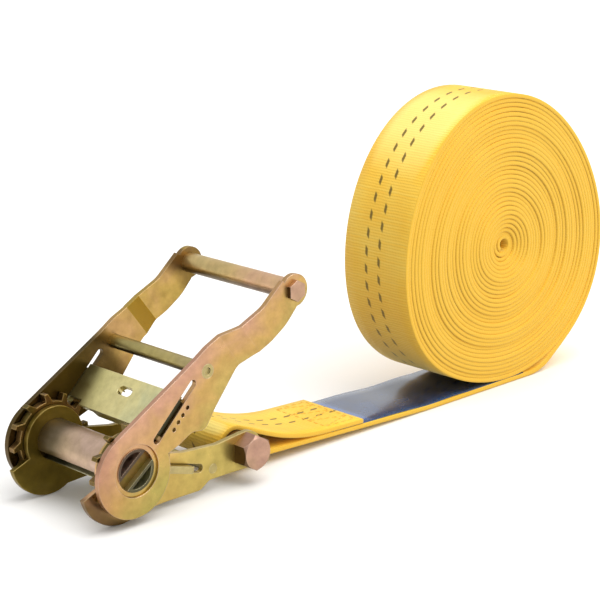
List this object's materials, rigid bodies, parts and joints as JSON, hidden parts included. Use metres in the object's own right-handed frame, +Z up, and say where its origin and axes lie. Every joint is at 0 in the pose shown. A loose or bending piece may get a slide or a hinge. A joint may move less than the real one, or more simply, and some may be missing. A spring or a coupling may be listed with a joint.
{
  "type": "ratchet tie down",
  "caption": "Endless ratchet tie down: plated steel ratchet buckle with its handle raised, sewn to yellow webbing that runs along the ground into an upright roll, with a blue label.",
  "frame": {"origin": "bottom centre of the bounding box, on the ground under the webbing", "axes": "+X from the ratchet along the webbing to the roll, +Y across the webbing, +Z up"},
  "size_m": [0.4028, 0.0928, 0.1737],
  "materials": {
    "plated_sheet": "yellow zinc plated sheet, iridescent gold with pink and green tints",
    "plated_bar": "yellow zinc plated bar and fasteners",
    "spring_wire": "bright spring wire",
    "webbing": "woven polyester webbing, yellow with two dashed dark tracer threads",
    "label_vinyl": "blue printed vinyl, plain"
  },
  "bodies": {
    "frame": {"frame_plate_near": "plated_sheet", "frame_plate_far": "plated_sheet", "anchor_bolt": "plated_bar", "anchor_nut": "plated_bar", "anchor_tube": "plated_bar", "frame_spring_stop": "plated_bar", "frame_pawl_spring": "spring_wire", "strap_loop": "webbing", "strap_run": "webbing", "strap_roll": "webbing", "care_label": "label_vinyl"},
    "spool": {"spool_half_upper": "plated_bar", "spool_half_lower": "plated_bar", "ratchet_wheel_near": "plated_sheet", "ratchet_wheel_far": "plated_sheet", "handle_bush_near": "plated_bar", "handle_bush_far": "plated_bar"},
    "handle": {"handle_plate_near": "plated_sheet", "handle_plate_far": "plated_sheet", "grip_tube": "plated_bar", "grip_bolt": "plated_bar", "grip_nut": "plated_bar", "cross_rod": "plated_bar", "handle_spring_bar": "plated_sheet", "handle_pawl_springs": "spring_wire"},
    "handle_pawl": {"handle_pawl": "plated_sheet"},
    "frame_pawl": {"frame_pawl": "plated_sheet"}
  },
  "joints": [
    {"name": "handle_swing", "type": "hinge", "parent": "frame", "child": "handle", "pos_m": [-0.17419, 0, 0.0287], "axis": [0, -1, 0], "range_deg": [-30, 150]},
    {"name": "spool_spin", "type": "hinge", "parent": "frame", "child": "spool", "pos_m": [-0.17419, 0, 0.0287], "axis": [0, -1, 0], "continuous": true},
    {"name": "handle_pawl_slide", "type": "slide", "parent": "handle", "child": "handle_pawl", "axis": [0.7193, 0, 0.6947], "range_m": [-0.0039, 0.008], "stiffness_N_per_m": 900, "deforming": ["handle_pawl_springs"]},
    {"name": "frame_pawl_slide", "type": "slide", "parent": "frame", "child": "frame_pawl", "axis": [0.9613, 0, -0.2756], "range_m": [0, 0.007], "stiffness_N_per_m": 700, "deforming": ["frame_pawl_spring"]}
  ]
}
